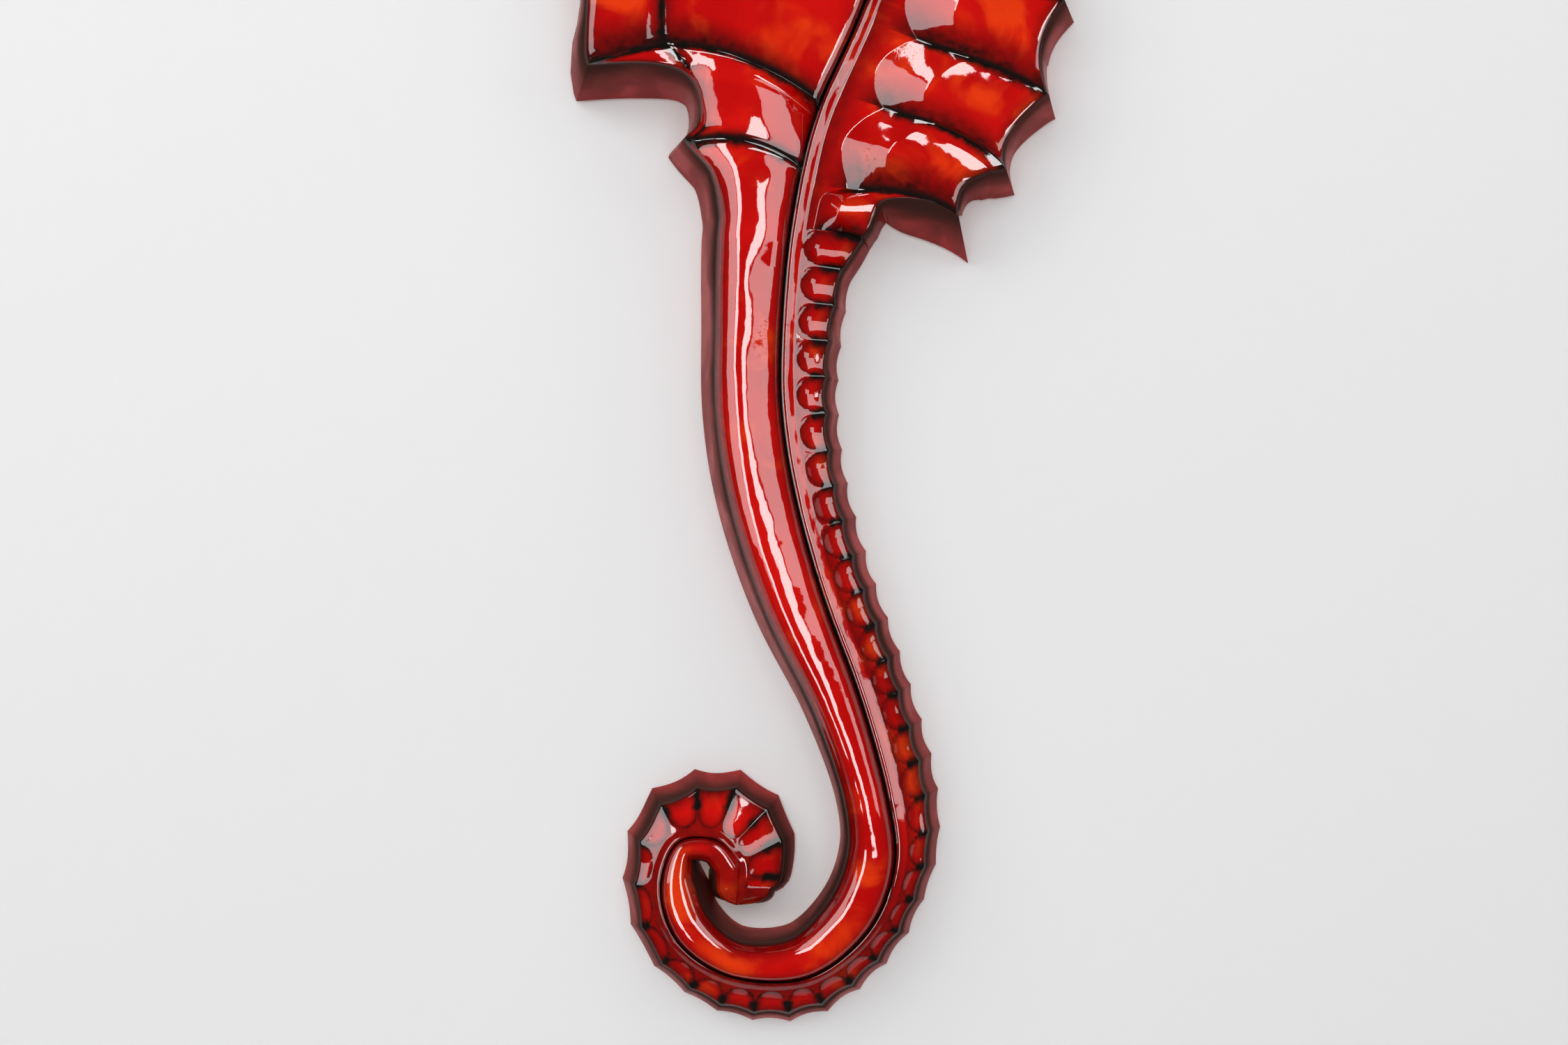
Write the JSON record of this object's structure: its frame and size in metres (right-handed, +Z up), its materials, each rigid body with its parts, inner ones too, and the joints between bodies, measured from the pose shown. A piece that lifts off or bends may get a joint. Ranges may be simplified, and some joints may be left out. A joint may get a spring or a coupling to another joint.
{
  "type": "seahorse wall plaque",
  "caption": "Glazed ceramic seahorse wall plaque with ribbed fin, keel spikes and curled scooped tail, hung by folding D-rings on a batten in its hollow back.",
  "frame": {"origin": "on the wall plane, midway between the two places where the wall hooks carry the D-rings", "axes": "+Z up along the seahorse, +Y into the wall, -Y out of the wall towards the viewer, +X to the viewer's right"},
  "size_m": [0.2193, 0.0359, 0.6534],
  "materials": {
    "red_glaze": "high gloss red glaze that breaks to dark brown on ribs and edges",
    "beech": "planed beech, unvarnished",
    "adhesive": "cured cream epoxy",
    "zinc_steel": "bright zinc plate",
    "felt": "dark wool felt"
  },
  "bodies": {
    "root": {"ceramic_body": "red_glaze", "hanger_batten": "beech", "batten_bed_left": "adhesive", "batten_bed_right": "adhesive", "left_hanger_strap": "zinc_steel", "right_hanger_strap": "zinc_steel", "left_upper_screw": "zinc_steel", "left_lower_screw": "zinc_steel", "right_upper_screw": "zinc_steel", "right_lower_screw": "zinc_steel", "snout_pad": "felt", "nape_pad": "felt", "belly_pad": "felt", "fin_pad": "felt", "tail_pad": "felt", "curl_pad": "felt"},
    "left_ring": {"left_hanger_ring": "zinc_steel"},
    "right_ring": {"right_hanger_ring": "zinc_steel"}
  },
  "joints": [
    {"name": "left_ring_swing", "type": "hinge", "parent": "root", "child": "left_ring", "pos_m": [-0.036, -0.0057, -0.0155], "axis": [-1, 0, 0], "range_deg": [-25, 175]},
    {"name": "right_ring_swing", "type": "hinge", "parent": "root", "child": "right_ring", "pos_m": [0.036, -0.0057, -0.0155], "axis": [-1, 0, 0], "range_deg": [-25, 175]}
  ]
}
